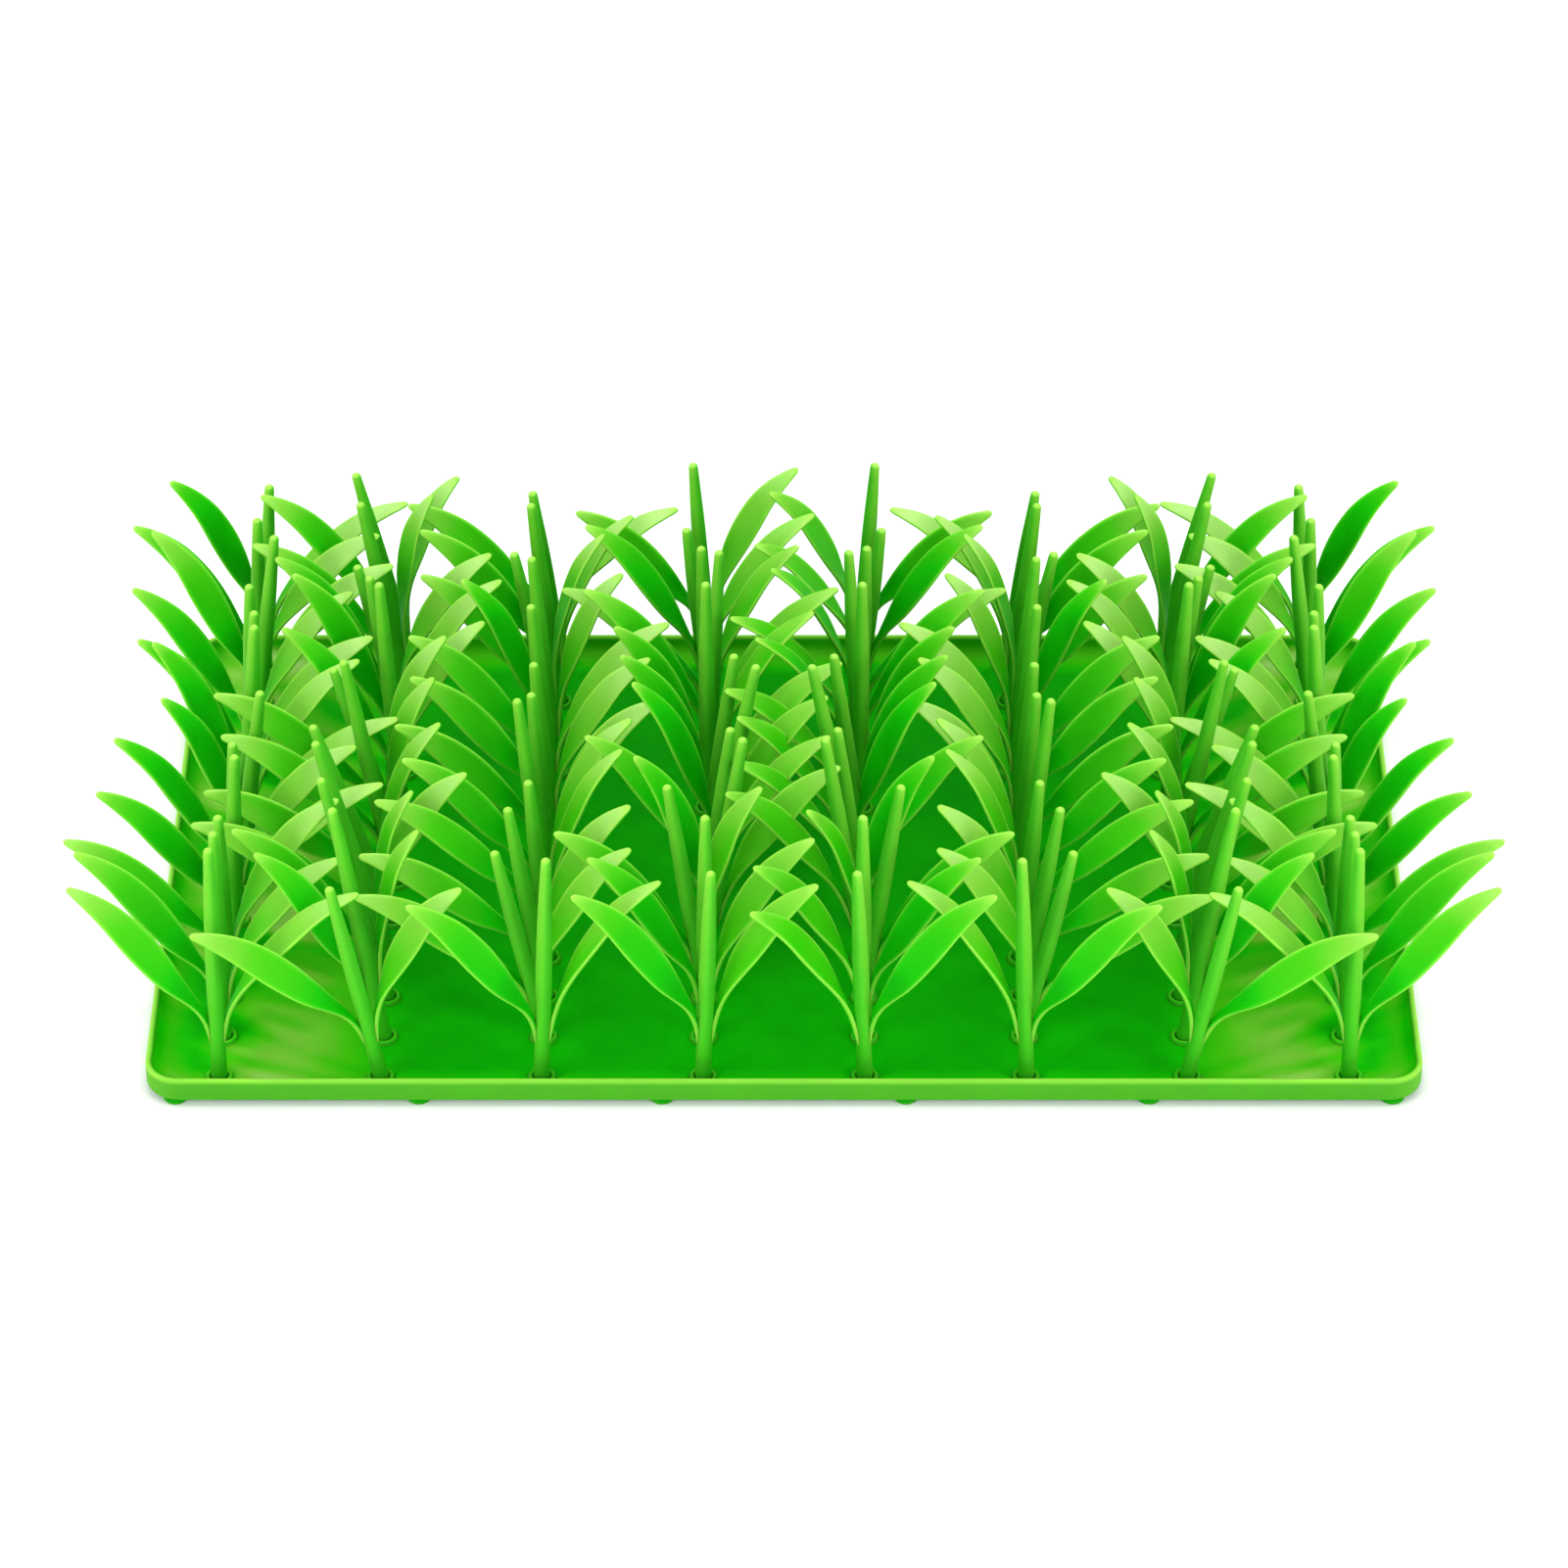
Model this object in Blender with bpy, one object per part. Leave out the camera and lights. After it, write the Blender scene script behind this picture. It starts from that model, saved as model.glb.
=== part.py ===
"""Snuffle mat: a moulded silicone tray with twelve rows of silicone grass.

The tray is a shallow rounded rectangle on low round feet. A grid of collared holes goes
through its floor. Each row of grass is one moulding: a narrow root strip under the floor
with eight sprigs, which rise through the holes. A sprig is a stem that carries on as an
upright finger, with a leaf on each side. The leaf leaves the stem low down, arches out
and turns its upper face to the front.

X runs along the long side, Y from front to back and Z up. The origin is on the ground
under the middle of the tray.
"""

import math
import random

import bmesh
import bpy
from mathutils import Matrix, Vector

MM = 0.001

# Tray
TRAY_LENGTH = 400 * MM
TRAY_DEPTH = 238 * MM
CORNER_RADIUS = 11 * MM
CORNER_SEGMENTS = 4
UNDERSIDE = 2.0 * MM
FLOOR_TOP = 3.6 * MM
RIM_TOP = 10.5 * MM
RIM_THICKNESS = 1.8 * MM
COVE_RADIUS = 4.5 * MM
BOTTOM_CHAMFER = 1.5 * MM

# Feet, in columns along X and rows along Y
FOOT_RADIUS = 3.9 * MM
FOOT_SIDES = 10
FOOT_PITCH = 76.2 * MM
FOOT_COLUMNS = 6
FOOT_EDGE_DISTANCE = 4.4 * MM
FOOT_ROWS = 3
FOOT_SINK = 0.6 * MM

# Grid of sprigs
ROWS = 12
ROW_PITCH = 19.8 * MM
COLUMNS = 8
COLUMN_PITCH = 50.6 * MM

# Collared hole: a round collar about a square hole
COLLAR_RADIUS = 4.3 * MM
COLLAR_SIDES = 6
COLLAR_TOP = FLOOR_TOP + 1.2 * MM
FIT_GAP = 0.35 * MM
CUT_MARGIN = 1 * MM

# Root strip under the floor
STRIP_BOTTOM = 0.5 * MM
STRIP_TOP = 1.7 * MM
STRIP_WIDTH = 3.0 * MM
STRIP_END = 4 * MM

# Stem and finger; the heights are above the floor, before the sprig leans
STEM_SIDE = 4.0 * MM
FORK_SIDE = 4.2 * MM
FORK_LOW = 15 * MM
FORK_HIGH = 21 * MM
FINGER_MIDDLE = 46 * MM
FINGER_MIDDLE_SIZE = (4.8 * MM, 3.4 * MM)
FINGER_TOP = 82 * MM
FINGER_TOP_SIZE = (2.8 * MM, 2.2 * MM)

# Leaf stations: place along the leaf, width and thickness
LEAF_STATIONS = (
    (0.14, 2.8 * MM, 1.8 * MM),
    (0.32, 5.8 * MM, 1.8 * MM),
    (0.56, 10.0 * MM, 1.7 * MM),
    (0.82, 7.4 * MM, 1.5 * MM),
    (1.00, 2.2 * MM, 1.2 * MM),
)
LEAF_STEPS = 50

# Slope of a leaf over the level, in degrees, at places along it
LEAF_SLOPES = ((0.0, 86), (0.25, 64), (0.7, 54), (1.0, 30))

# A leaf leaves its row's line and turns its face on the first stretch of its length
STEEPER_FROM = 0.25
DRIFT_ENDS_AT = 0.45
TWIST_ENDS_AT = 0.50

# Side of the stem (-1 left, 1 right), length, how many degrees steeper, drift along Y and
# turn of the face in degrees
LEAF_SIDES = (
    (-1, 73 * MM, -3, -5.6 * MM, 48),
    (1, 68 * MM, 3, 4.4 * MM, 27),
)
TWIST_VARIATION = 16
LENGTH_VARIATION = 0.05
SEED = 53651

# The leaves, one line for each row from the front, with a left and a right leaf for each
# column from the outermost to the innermost one. Each pair is how many degrees the leaf is
# steeper than usual and how many it is turned round its stem: the right leaf to the back,
# the left one to the front.
LEAVES = (
    (((-3, -12), (-12, 3)), ((-5, 0), (-8, 0)), ((-2, 0), (0, 0)), ((0, 0), (0, 4))),
    (((0, -3), (-8, 3)), ((17, -1), (10, 0)), ((-5, 0), (-10, 0)), ((5, 0), (0, 5))),
    (((-9, 0), (-2, 3)), ((12, 0), (8, 0)), ((-8, 0), (-5, 0)), ((5, 0), (6, 3))),
    (((-2, 7), (-14, 5)), ((-4, 0), (-13, 0)), ((-6, 2), (6, 0)), ((10, 0), (2, 7))),
    (((6, 8), (-8, 4)), ((0, 2), (-6, 0)), ((3, 2), (0, 0)), ((-3, 0), (0, 7))),
    (((10, 6), (-12, 3)), ((-2, 1), (8, -2)), ((-3, 2), (-8, 0)), ((5, 0), (8, 8))),
    (((12, -2), (0, 3)), ((4, 1), (-2, 0)), ((2, 0), (-4, 0)), ((6, 3), (-2, 6))),
    (((3, 7), (-7, 4)), ((10, -3), (0, 1)), ((3, 0), (-10, 0)), ((12, 0), (0, 3))),
    (((5, 0), (0, 0)), ((20, -3), (-8, 1)), ((20, 0), (6, 0)), ((0, 0), (-6, 5))),
    (((4, -10), (-5, 0)), ((18, 0), (-12, -1)), ((10, 0), (5, 0)), ((-8, 0), (2, 2))),
    (((2, 4), (-9, 2)), ((5, 2), (12, -2)), ((6, 1), (0, 0)), ((10, 0), (-10, 5))),
    (((10, 10), (-14, 4)), ((12, 1), (0, 0)), ((2, 3), (-20, 0)), ((0, 1), (0, 5))),
)

# The right half mirrors the left one, so the innermost leaves would run into each other. The
# one from the right is turned this many degrees to the front to pass.
MEETING_TURN = 24

# The fingers, one line for each row from the front. Each pair is the lean of the tip away
# from the middle of the mat and how much longer the finger is than usual, in millimetres,
# from the outermost column to the innermost one. A long finger also leans back a little.
BACK_PER_LONGER = 0.35
FINGERS = (
    ((-1, 7), (14, -4), (-3, 4), (-3, 0)),
    ((-1, 0), (12, 8), (15, -5), (-1, 5)),
    ((-1, -7), (17, 6), (11, -4), (11, 3)),
    ((-5, 0), (20, 6), (5, -8), (-12, 6)),
    ((-3, -8), (24, 0), (8, 6), (-9, -3)),
    ((-11, -3), (13, 7), (5, -4), (-16, 6)),
    ((-7, 6), (21, -6), (5, -6), (-10, -3)),
    ((-6, -1), (4, 8), (6, 1), (0, 8)),
    ((-3, -4), (9, -1), (6, 5), (-4, 7)),
    ((-10, 1), (16, -8), (14, -4), (2, -3)),
    ((-3, -5), (14, 1), (8, 0), (8, -8)),
    ((-6, -5), (17, 0), (9, -7), (5, 2)),
)

SILICONE = ((0.045, 0.52, 0.010), 0.42)
GRASS = ((0.16, 0.66, 0.030), 0.40)


def clear_scene():
    """Remove what a new Blender file holds."""
    for scene_object in list(bpy.data.objects):
        bpy.data.objects.remove(scene_object, do_unlink=True)


def new_collection(name):
    """Make a collection under the scene's own."""
    collection = bpy.data.collections.new(name)
    bpy.context.scene.collection.children.link(collection)
    return collection


def plain_material(name, look):
    """Make a Principled material from a colour and a roughness."""
    colour, roughness = look
    material = bpy.data.materials.new(name)
    material.use_nodes = True
    shader = material.node_tree.nodes["Principled BSDF"]
    shader.inputs["Base Color"].default_value = (*colour, 1.0)
    shader.inputs["Roughness"].default_value = roughness
    shader.inputs["Metallic"].default_value = 0.0
    material.diffuse_color = (*colour, 1.0)
    return material


def object_from_bmesh(name, bm, collection, material=None):
    """Turn a bmesh into an object of the collection."""
    mesh = bpy.data.meshes.new(name)
    bm.to_mesh(mesh)
    bm.free()
    if material:
        mesh.materials.append(material)
    result = bpy.data.objects.new(name, mesh)
    collection.objects.link(result)
    return result


def centred_places(count, pitch):
    """Places of a row of things about zero."""
    return [(index - (count - 1) / 2) * pitch for index in range(count)]


def prisms(name, places, radius, sides, low, high, collection):
    """Make upright prisms at the places, as one hidden tool for a Boolean modifier."""
    bm = bmesh.new()
    for x, y in places:
        bmesh.ops.create_cone(
            bm, cap_ends=True, segments=sides, radius1=radius, radius2=radius, depth=high - low,
            matrix=Matrix.Translation((x, y, (low + high) / 2)) @ Matrix.Rotation(math.pi / sides, 4, "Z"))
    tool = object_from_bmesh(name, bm, collection)
    tool.hide_render = True
    tool.display_type = "WIRE"
    return tool


def add_boolean(target, tool, operation):
    """Join the tool to the target or cut it away."""
    modifier = target.modifiers.new(tool.name, "BOOLEAN")
    modifier.operation = operation
    modifier.object = tool
    modifier.solver = "EXACT"


def sink_top(bm, face, steps):
    """Inset the face step by step, each step going in and down."""
    for inward, down in steps:
        bmesh.ops.inset_region(bm, faces=[face], thickness=inward, depth=-down, use_even_offset=True)


def tray_shell():
    """A block with round corners, hollowed from above down to the floor."""
    bm = bmesh.new()
    height = RIM_TOP - UNDERSIDE
    middle = Matrix.Translation((0, 0, (RIM_TOP + UNDERSIDE) / 2))
    block = Matrix.Diagonal((TRAY_LENGTH, TRAY_DEPTH, height, 1))
    bmesh.ops.create_cube(bm, size=1, matrix=middle @ block)
    uprights = [edge for edge in bm.edges if abs(edge.verts[0].co.z - edge.verts[1].co.z) > height / 2]
    bmesh.ops.bevel(bm, geom=uprights, offset=CORNER_RADIUS, segments=CORNER_SEGMENTS,
                    profile=0.5, affect="EDGES")
    lowest = [edge for edge in bm.edges if all(vertex.co.z < UNDERSIDE + height / 2 for vertex in edge.verts)]
    bmesh.ops.bevel(bm, geom=lowest, offset=BOTTOM_CHAMFER, segments=1, profile=0.5, affect="EDGES")

    top = max(bm.faces, key=lambda face: face.calc_center_median().z)
    straight = RIM_TOP - FLOOR_TOP - COVE_RADIUS
    cove = [COVE_RADIUS * (1 - math.cos(math.radians(angle))) for angle in (0, 45, 90)]
    sink_top(bm, top, (
        (RIM_THICKNESS, 0),
        (0, straight),
        (cove[1], cove[2] - cove[1]),
        (cove[2] - cove[1], cove[1]),
    ))
    return bm


def make_tray(collection, tools, material, holes):
    """The tray: shell, collars, feet and the holes for the stems."""
    tray = object_from_bmesh("tray", tray_shell(), collection, material)

    foot_edge = TRAY_DEPTH / 2 - FOOT_EDGE_DISTANCE
    foot_rows = centred_places(FOOT_ROWS, 2 * foot_edge / (FOOT_ROWS - 1))
    feet = [(x, y) for x in centred_places(FOOT_COLUMNS, FOOT_PITCH) for y in foot_rows]
    foot_tool = prisms("feet_tool", feet, FOOT_RADIUS, FOOT_SIDES, 0, UNDERSIDE + FOOT_SINK, tools)
    add_boolean(tray, foot_tool, "UNION")

    collar_low = (UNDERSIDE + FLOOR_TOP) / 2
    collar_tool = prisms("collar_tool", holes, COLLAR_RADIUS, COLLAR_SIDES, collar_low, COLLAR_TOP, tools)
    add_boolean(tray, collar_tool, "UNION")

    hole_radius = (STEM_SIDE / 2 + FIT_GAP) * math.sqrt(2)
    hole_low, hole_high = UNDERSIDE - CUT_MARGIN, COLLAR_TOP + CUT_MARGIN
    hole_tool = prisms("hole_tool", holes, hole_radius, 4, hole_low, hole_high, tools)
    add_boolean(tray, hole_tool, "DIFFERENCE")
    return tray


def smooth_step(value):
    """Rise from 0 to 1 with level ends."""
    value = min(max(value, 0.0), 1.0)
    return value * value * (3 - 2 * value)


def corner_signs(face, first_axis, second_axis):
    """On which side of the face's middle each of its corners lies, along two axes."""
    middle = face.calc_center_median()
    return [(math.copysign(1, (vertex.co - middle).dot(first_axis)),
             math.copysign(1, (vertex.co - middle).dot(second_axis))) for vertex in face.verts]


def extrude_through(bm, face, signs, sections):
    """Extrude a quad through sections, each a middle and two half sides."""
    for middle, first_half, second_half in sections:
        face = bmesh.ops.extrude_discrete_faces(bm, faces=[face])["faces"][0]
        for vertex, (first, second) in zip(face.verts, signs):
            vertex.co = middle + first * first_half + second * second_half
    return face


def leaf_slope(along, steeper):
    """Slope of a leaf's middle line at a place along it."""
    for (start, first), (end, last) in zip(LEAF_SLOPES, LEAF_SLOPES[1:]):
        if along <= end:
            slope = first + (last - first) * (along - start) / (end - start)
            break
    return math.radians(slope + steeper * smooth_step(along / STEEPER_FROM))


def leaf_sections(place, side, length, steeper, drift, twist, turned):
    """Sections of a leaf that leaves the stem's side and arches out.

    place maps the sprig's own points, with the floor at zero, into the row.
    """
    place = place @ Matrix.Rotation(math.radians(turned), 4, "Z")
    step = length / LEAF_STEPS
    reach, height = FORK_SIDE / 2, FORK_LOW
    line = []
    for index in range(LEAF_STEPS + 1):
        slope = leaf_slope(index / LEAF_STEPS, steeper)
        line.append((reach, height, slope))
        reach += step * math.cos(slope)
        height += step * math.sin(slope)

    sections = []
    turn = place.to_3x3()
    back = Vector((0, 1, 0))
    for along, width, thickness in LEAF_STATIONS:
        reach, height, slope = line[round(along * LEAF_STEPS)]
        shift = drift * smooth_step(along / DRIFT_ENDS_AT)
        angle = math.radians(twist) * smooth_step(along / TWIST_ENDS_AT)
        up = Vector((-side * math.sin(slope), 0, math.cos(slope)))
        across = back * math.cos(angle) + up * math.sin(angle)
        normal = up * math.cos(angle) - back * math.sin(angle)
        middle = place @ Vector((side * reach, shift, height))
        sections.append((middle, turn @ normal * thickness / 2, turn @ across * width / 2))
    return sections


def grow_sprig(bm, base, root_x, lean, longer, leaves):
    """Raise a sprig from a square face on top of the root strip."""
    finger_top = FINGER_TOP + longer
    back_lean = BACK_PER_LONGER * longer
    x_axis, y_axis, z_axis = Vector((1, 0, 0)), Vector((0, 1, 0)), Vector((0, 0, 1))
    lean_angle = math.atan2(lean, FINGER_TOP)
    above_floor = Matrix.Translation((root_x, 0, COLLAR_TOP))
    leaning = above_floor @ Matrix.Rotation(lean_angle, 4, "Y")
    place = leaning @ Matrix.Translation((0, 0, FLOOR_TOP - COLLAR_TOP))
    turn = place.to_3x3()

    def section(height, size):
        """A level section of the stem or finger."""
        bend = back_lean * smooth_step((height - FORK_HIGH) / (finger_top - FORK_HIGH))
        return (place @ Vector((0, bend, height)),
                turn @ x_axis * size[0] / 2, turn @ y_axis * size[1] / 2)

    signs = corner_signs(base, x_axis, y_axis)
    collar_section = (Vector((root_x, 0, COLLAR_TOP)), x_axis * STEM_SIDE / 2, y_axis * STEM_SIDE / 2)
    fork_size = (FORK_SIDE, FORK_SIDE)
    low = extrude_through(bm, base, signs, [collar_section, section(FORK_LOW, fork_size)])
    fork = extrude_through(bm, low, signs, [section(FORK_HIGH, fork_size)])
    bm.normal_update()
    fork_sides = {face for edge in fork.edges for face in edge.link_faces if face is not fork}
    extrude_through(bm, fork, signs, [section(FINGER_MIDDLE, FINGER_MIDDLE_SIZE),
                                      section(finger_top, FINGER_TOP_SIZE)])
    roots = {side: max(fork_sides, key=lambda face: face.normal.x * side) for side in (-1, 1)}
    for side, *settings in leaves:
        root = roots[side]
        leaf_signs = corner_signs(root, z_axis, y_axis)
        extrude_through(bm, root, leaf_signs, leaf_sections(place, side, *settings))


def leaf_settings(chance, column, changes):
    """Settings of a sprig's two leaves, each a little unlike the next."""
    half = COLUMNS // 2
    leaves = []
    for (side, length, steeper, drift, twist), (slope_change, turned) in zip(LEAF_SIDES, changes):
        length *= 1 + chance.uniform(-LENGTH_VARIATION, LENGTH_VARIATION)
        twist += chance.uniform(-TWIST_VARIATION, TWIST_VARIATION)
        if column == half and side == 1:
            turned -= MEETING_TURN
        if column >= half:
            side, turned = -side, -turned
        leaves.append((side, length, steeper + slope_change, drift, twist, turned))
    return leaves


def make_grass_row(row, y, collection, material):
    """One row of grass: a root strip under the floor and its eight sprigs."""
    columns = centred_places(COLUMNS, COLUMN_PITCH)
    half_strip = columns[-1] + STEM_SIDE / 2 + STRIP_END
    bm = bmesh.new()
    middle = Matrix.Translation((0, 0, (STRIP_BOTTOM + STRIP_TOP) / 2))
    strip_size = Matrix.Diagonal((2 * half_strip, STRIP_WIDTH, STRIP_TOP - STRIP_BOTTOM, 1))
    bmesh.ops.create_cube(bm, size=1, matrix=middle @ strip_size)
    for x in columns:
        for edge_x in (x - STEM_SIDE / 2, x + STEM_SIDE / 2):
            bmesh.ops.bisect_plane(bm, geom=bm.verts[:] + bm.edges[:] + bm.faces[:],
                                   plane_co=(edge_x, 0, 0), plane_no=(1, 0, 0))

    fingers = FINGERS[row]
    half = len(fingers)
    for column, x in enumerate(columns):
        mirrored = column >= half
        outer_index = COLUMNS - 1 - column if mirrored else column
        chance = random.Random(SEED * 1000 + row * half + outer_index)
        outward, longer = (value * MM for value in fingers[outer_index])
        foot = Vector((x, 0, STRIP_TOP))
        base = min(bm.faces, key=lambda face: (face.calc_center_median() - foot).length)
        leaves = leaf_settings(chance, column, LEAVES[row][outer_index])
        grow_sprig(bm, base, x, outward if mirrored else -outward, longer, leaves)

    grass = object_from_bmesh(f"grass_row_{row + 1:02d}", bm, collection, material)
    grass.location.y = y
    return grass


def build():
    """Build the mat."""
    clear_scene()
    parts = new_collection("snuffle_mat")
    tools = new_collection("snuffle_mat_tools")
    holes = [(x, y) for y in centred_places(ROWS, ROW_PITCH) for x in centred_places(COLUMNS, COLUMN_PITCH)]
    make_tray(parts, tools, plain_material("tray_silicone", SILICONE), holes)
    grass_material = plain_material("grass_silicone", GRASS)
    for row, y in enumerate(centred_places(ROWS, ROW_PITCH)):
        make_grass_row(row, y, parts, grass_material)


build()
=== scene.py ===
# %% [markdown]
# # A silicone snuffle mat
#
# The real mat is a shallow moulded tray with rows of soft silicone grass. Dry food is
# scattered on its floor, and a dog or cat noses it out from between the blades. This
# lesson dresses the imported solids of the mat. It starts by loading them as a fixed frame,
# so that every piece is made where its solid already is, in metres, with X along the long
# side, Y from front to back and Z up.

# %% Load the frame
import math
import random

import bmesh
import bpy
from mathutils import Matrix, Vector


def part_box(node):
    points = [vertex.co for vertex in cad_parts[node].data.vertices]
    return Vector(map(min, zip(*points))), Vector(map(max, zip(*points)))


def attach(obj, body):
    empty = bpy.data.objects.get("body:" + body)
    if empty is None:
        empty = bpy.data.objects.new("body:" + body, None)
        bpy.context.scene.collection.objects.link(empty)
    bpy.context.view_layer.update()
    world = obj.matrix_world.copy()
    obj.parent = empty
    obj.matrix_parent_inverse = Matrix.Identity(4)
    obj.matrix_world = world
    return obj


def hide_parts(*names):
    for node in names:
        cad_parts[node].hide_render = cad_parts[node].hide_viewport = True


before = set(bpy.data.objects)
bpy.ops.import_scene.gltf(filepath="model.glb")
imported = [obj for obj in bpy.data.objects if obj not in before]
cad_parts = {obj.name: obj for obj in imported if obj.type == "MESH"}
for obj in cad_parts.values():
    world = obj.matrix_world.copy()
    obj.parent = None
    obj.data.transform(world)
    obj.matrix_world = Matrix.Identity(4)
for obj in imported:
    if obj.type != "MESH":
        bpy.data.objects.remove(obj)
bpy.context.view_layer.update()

TRAY_LOW, TRAY_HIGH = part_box("tray")
ROW_NODES = sorted(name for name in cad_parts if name.startswith("grass_row_"))
tray_length = (TRAY_HIGH.x - TRAY_LOW.x) * 1000
print(f"the tray is {tray_length:.0f} mm long, and carries {len(ROW_NODES)} rows of grass")

# %% [markdown]
# ## Sizes
#
# A mould maker works from a few driving sizes. The tray's length, depth and rim come from
# the frame. The rest repeats the sizes of the solids: the grid on which the sprigs are set
# out, the collar that each one stands in, and the heights at which a sprig branches.

# %% Driving sizes
MM = 0.001

CORNER_RADIUS = 11 * MM
UNDERSIDE = 2.0 * MM
FLOOR_TOP = 3.6 * MM
RIM_THICKNESS = 1.8 * MM
COVE_RADIUS = 4.5 * MM

COLUMNS = 8
COLUMN_PITCH = 50.6 * MM
ROWS = len(ROW_NODES)
ROW_PITCH = 19.8 * MM

FOOT_RADIUS = 3.9 * MM
FOOT_COLUMNS, FOOT_PITCH = 6, 76.2 * MM
FOOT_ROWS, FOOT_EDGE_DISTANCE = 3, 4.4 * MM

COLLAR_TOP = FLOOR_TOP + 1.2 * MM
STRIP_BOTTOM, STRIP_TOP = 0.5 * MM, 1.7 * MM
STRIP_WIDTH, STRIP_END = 3.0 * MM, 5.5 * MM


def centred_places(count, pitch):
    """Places of a row of things about zero."""
    return [(index - (count - 1) / 2) * pitch for index in range(count)]


def smooth_step(value):
    """Rise from 0 to 1 with level ends."""
    value = min(max(value, 0.0), 1.0)
    return value * value * (3 - 2 * value)


def along_table(table, place):
    """Read a table of (place, value) rows at a place, on a smooth curve through its rows."""
    last = len(table) - 1
    index = 0
    while index < last - 1 and place > table[index + 1][0]:
        index += 1

    def steepness(row):
        before, after = table[max(row - 1, 0)], table[min(row + 1, last)]
        return (after[1] - before[1]) / (after[0] - before[0])

    (start, first), (end, second) = table[index], table[index + 1]
    span = end - start
    share = min(max((place - start) / span, 0.0), 1.0)
    rise = smooth_step(share)
    leave = share * (1 - share) ** 2 * span * steepness(index)
    arrive = share ** 2 * (share - 1) * span * steepness(index + 1)
    return first + (second - first) * rise + leave + arrive


print(f"{ROWS} rows of {COLUMNS} sprigs")

# %% [markdown]
# ## Making meshes
#
# Most of the mat is lofted: closed rings of points, one after another, with quads between
# them. One helper skins such rings and closes their ends. It can also store numbers on the
# points, one for each ring or point, which the materials read later as attributes.

# %% Mesh helpers
def mesh_object(name, bm, smooth=True, sharp_angle=50):
    """Turn a bmesh into an object, shaded smooth but for its sharp edges."""
    mesh = bpy.data.meshes.new(name)
    bm.to_mesh(mesh)
    bm.free()
    if smooth:
        mesh.shade_smooth()
        mesh.set_sharp_from_angle(angle=math.radians(sharp_angle))
    result = bpy.data.objects.new(name, mesh)
    bpy.context.scene.collection.objects.link(result)
    return result


def skin_rings(bm, rings, marks=None):
    """Skin closed rings of points with quads, and close both ends.

    marks gives each layer's name and one list of numbers for each ring.
    """
    layers = {name: bm.verts.layers.float.get(name) or bm.verts.layers.float.new(name)
              for name in (marks or {})}
    loops = []
    for index, ring in enumerate(rings):
        loop = [bm.verts.new(point) for point in ring]
        for name, layer in layers.items():
            for vertex, value in zip(loop, marks[name][index]):
                vertex[layer] = value
        loops.append(loop)
    count = len(loops[0])
    for lower, upper in zip(loops, loops[1:]):
        for corner in range(count):
            after = (corner + 1) % count
            bm.faces.new((lower[corner], lower[after], upper[after], upper[corner]))
    bm.faces.new(list(reversed(loops[0])))
    bm.faces.new(loops[-1])


def join_pieces(name, pieces, sharp_angle):
    """Join mesh objects that lie at the origin into one piece."""
    bm = bmesh.new()
    for piece in pieces:
        bm.from_mesh(piece.data)
    joined = mesh_object(name, bm, sharp_angle=sharp_angle)
    for piece in pieces:
        bpy.data.objects.remove(piece, do_unlink=True)
    return joined


# %% [markdown]
# ## Building node trees
#
# Geometry Nodes and materials are both trees of nodes. One small class wraps a tree, so that
# a line of Python adds a node, sets it up and links its sockets. A value that comes out of a
# node is wrapped as well, and its arithmetic operators add Math nodes.

# %% A wrapper for node trees
class Value:
    """A number, colour or vector that comes out of a node."""

    def __init__(self, tree, socket):
        self.tree, self.socket = tree, socket

    def _maths(self, operation, *values):
        return self.tree.node("ShaderNodeMath", {"operation": operation}, dict(enumerate(values)))

    def __add__(self, other):
        return self._maths("ADD", self, other)

    def __sub__(self, other):
        return self._maths("SUBTRACT", self, other)

    def __mul__(self, other):
        return self._maths("MULTIPLY", self, other)

    def __pow__(self, other):
        return self._maths("POWER", self, other)

    __radd__ = __add__


class Tree:
    """Adds nodes to a node tree."""

    def __init__(self, tree):
        self.tree = tree

    def link(self, value, socket):
        """Put a wrapped value or a plain one into a socket."""
        if isinstance(value, Value):
            self.tree.links.new(value.socket, socket)
        else:
            socket.default_value = value

    def node(self, kind, settings=None, inputs=None, output=0):
        """Add a node, set it up, fill its sockets, and give one of its outputs."""
        node = self.tree.nodes.new(kind)
        for name, setting in (settings or {}).items():
            setattr(node, name, setting)
        for name, value in (inputs or {}).items():
            self.link(value, node.inputs[name])
        return Value(self, node.outputs[output])

    def more(self, value, output):
        """Another output of the node that a value comes from."""
        return Value(self, value.socket.node.outputs[output])


# %% [markdown]
# A Geometry Nodes tree is tried on an object as a modifier. Its inputs are set by their
# identifiers before the first evaluation, the result is copied out as a plain mesh, and the
# modifier goes. What is left has no live node tree to trip over later.

# %% Run a Geometry Nodes tree
def geometry_tree(name, sizes):
    """Start a Geometry Nodes tree with named inputs. Gives the tree and its input values."""
    group = bpy.data.node_groups.new(name, "GeometryNodeTree")
    group.interface.new_socket("Geometry", in_out="INPUT", socket_type="NodeSocketGeometry")
    for size_name, kind in sizes.items():
        group.interface.new_socket(size_name, in_out="INPUT", socket_type=kind)
    group.interface.new_socket("Geometry", in_out="OUTPUT", socket_type="NodeSocketGeometry")
    tree = Tree(group)
    source = group.nodes.new("NodeGroupInput")
    values = {socket.name: Value(tree, socket) for socket in source.outputs if socket.name}
    return tree, values


def end_tree(tree, geometry, material):
    """End a tree in Realize Instances and Set Material."""
    real = tree.node("GeometryNodeRealizeInstances", None, {"Geometry": geometry})
    dressed = tree.node("GeometryNodeSetMaterial", None, {"Geometry": real, "Material": material})
    sink = tree.tree.nodes.new("NodeGroupOutput")
    tree.link(dressed, sink.inputs["Geometry"])


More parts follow.
